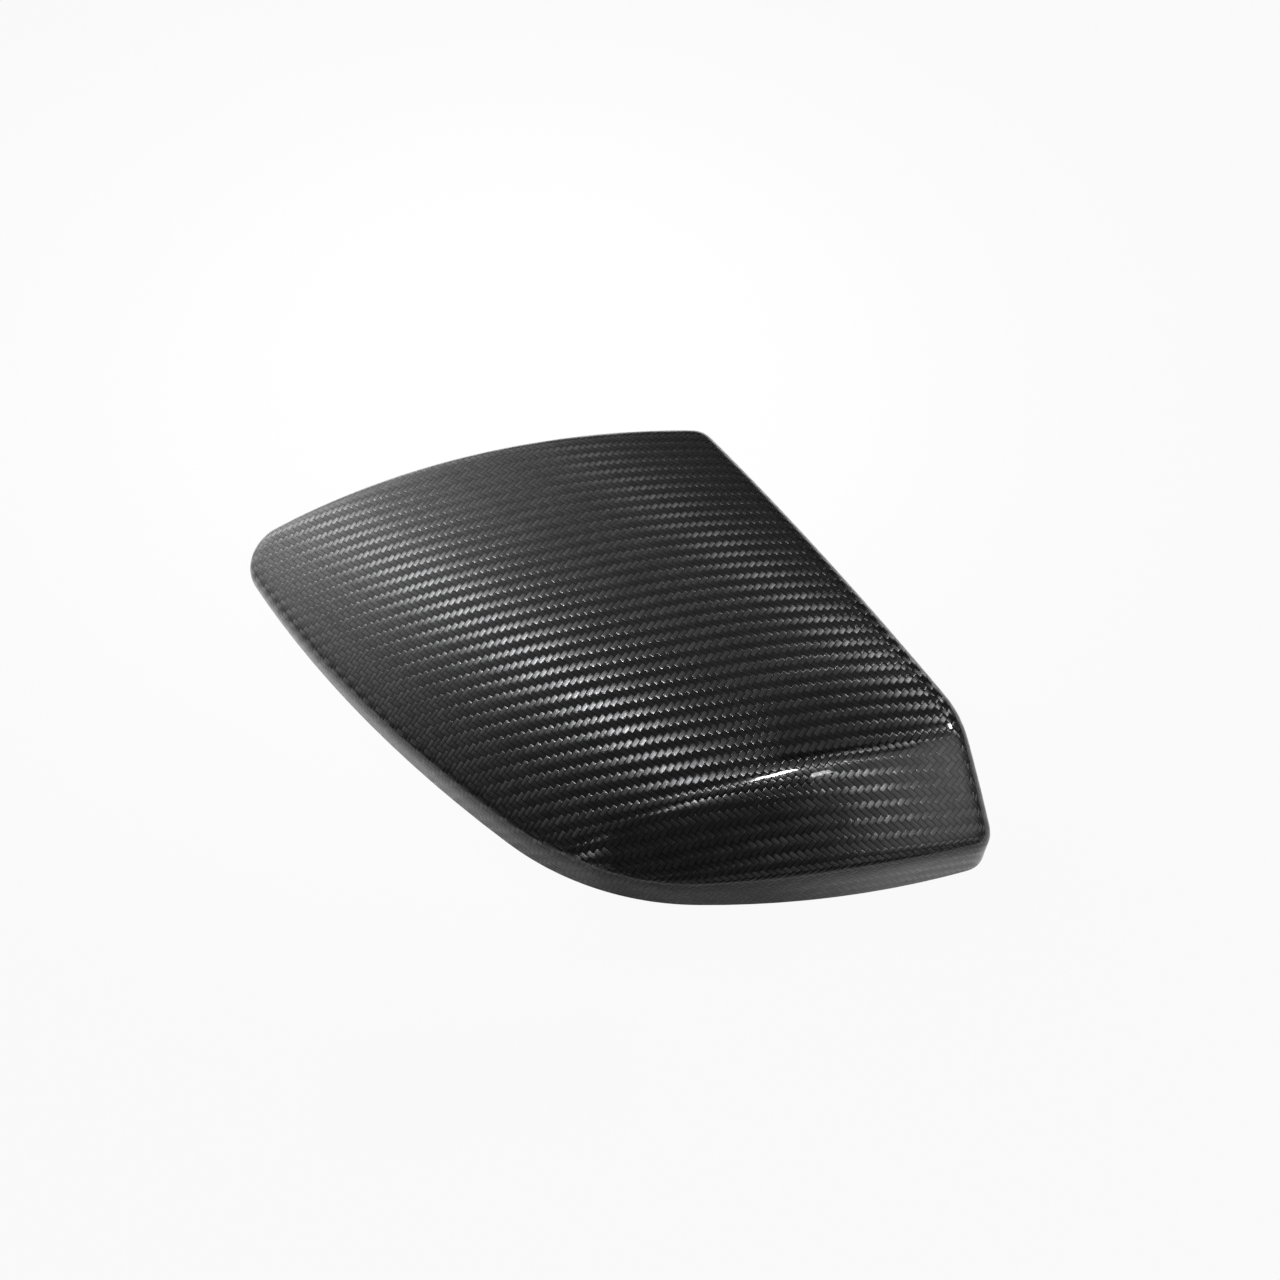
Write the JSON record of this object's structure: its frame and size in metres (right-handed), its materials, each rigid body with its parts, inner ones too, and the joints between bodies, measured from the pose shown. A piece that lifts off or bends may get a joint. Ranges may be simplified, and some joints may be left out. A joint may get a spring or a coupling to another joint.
{
  "type": "wing mirror cover",
  "caption": "Carbon-fibre cover for a car's wing mirror: a thin domed shell with rounded edges, a creased scoop at its inner end and an open underside.",
  "frame": {"origin": "on the plane of the rim, under the middle of the box around the cover", "axes": "+X along the cover from the outer tip to the inner corner, +Y to the deep edge, +Z out of the face, with the rim flat on z = 0"},
  "size_m": [0.2712, 0.1648, 0.038],
  "materials": {
    "carbon_shell": "woven 2x2 twill carbon fibre under a thick clear gloss coat, satin resin on the inside"
  },
  "bodies": {
    "root": {"mirror_cover": "carbon_shell"}
  },
  "joints": []
}
